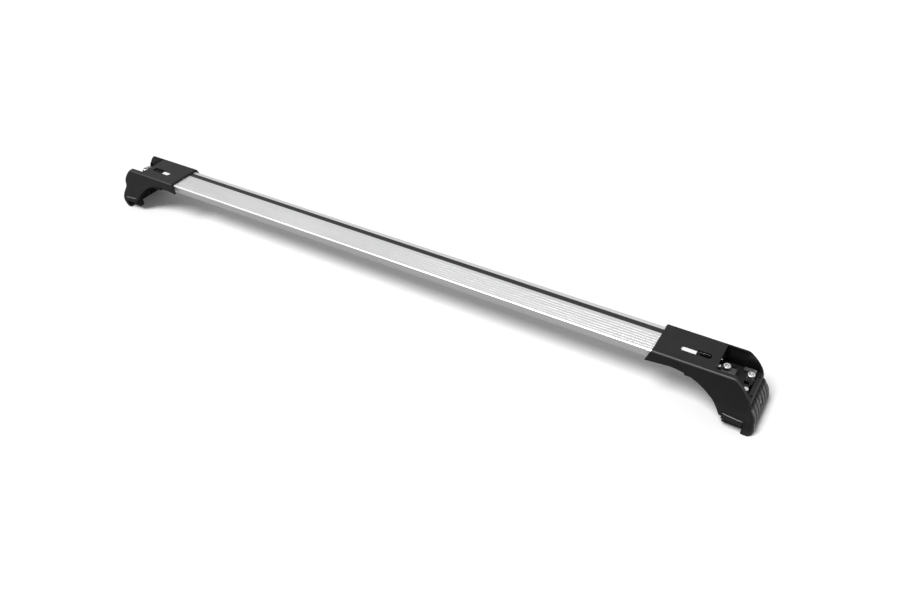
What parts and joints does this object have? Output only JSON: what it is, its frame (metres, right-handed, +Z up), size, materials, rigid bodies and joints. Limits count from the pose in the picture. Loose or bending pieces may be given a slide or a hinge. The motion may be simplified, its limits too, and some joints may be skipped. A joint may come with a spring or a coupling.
{
  "type": "roof rack crossbar",
  "caption": "Flat aluminium crossbar with a rubber slot strip and arched moulded feet that sit on raised or flush roof rails.",
  "frame": {"origin": "middle of the bar's length and of the feet's width, on the floor under the feet's outer tips", "axes": "+X along the bar, towards the right foot; +Y towards the side with the slot strip; +Z up, out of the bar's load face"},
  "size_m": [1.1998, 0.0837, 0.082],
  "materials": {
    "bar_aluminium": "satin anodised, fine lengthwise lines",
    "strip_rubber": "matte",
    "foot_plastic": "satin, fine moulded grain",
    "cover_plastic": "matte",
    "pad_rubber": "matte",
    "coated_steel": "black coated",
    "dark_steel": "dark phosphate coating",
    "dull_zinc": "dull grey plating",
    "zinc_steel": "zinc plated"
  },
  "bodies": {
    "bar": {"bar_profile": "bar_aluminium", "slot_strip": "strip_rubber"},
    "right_foot": {"right_foot_shell": "foot_plastic", "right_end_cover": "cover_plastic", "right_cover_screw": "zinc_steel", "right_rail_pad": "pad_rubber", "right_foot_bracket": "coated_steel", "right_clamp_block": "dark_steel", "right_block_screw": "zinc_steel", "right_strike_plate": "dull_zinc", "right_strike_screw": "zinc_steel", "right_strike_nut": "zinc_steel", "right_bracket_screw": "zinc_steel", "right_stop_pin": "zinc_steel", "right_slot_nuts": "zinc_steel", "right_slot_screws": "zinc_steel"},
    "left_foot": {"left_foot_shell": "foot_plastic", "left_end_cover": "cover_plastic", "left_cover_screw": "zinc_steel", "left_rail_pad": "pad_rubber", "left_foot_bracket": "coated_steel", "left_clamp_block": "dark_steel", "left_block_screw": "zinc_steel", "left_strike_plate": "dull_zinc", "left_strike_screw": "zinc_steel", "left_strike_nut": "zinc_steel", "left_bracket_screw": "zinc_steel", "left_stop_pin": "zinc_steel", "left_slot_nuts": "zinc_steel", "left_slot_screws": "zinc_steel"}
  },
  "joints": [
    {"name": "right_foot_slide", "type": "slide", "parent": "bar", "child": "right_foot", "axis": [1, 0, 0], "range_m": [-0.018, 0.02]},
    {"name": "left_foot_slide", "type": "slide", "parent": "bar", "child": "left_foot", "axis": [-1, 0, 0], "range_m": [-0.018, 0.02]}
  ]
}
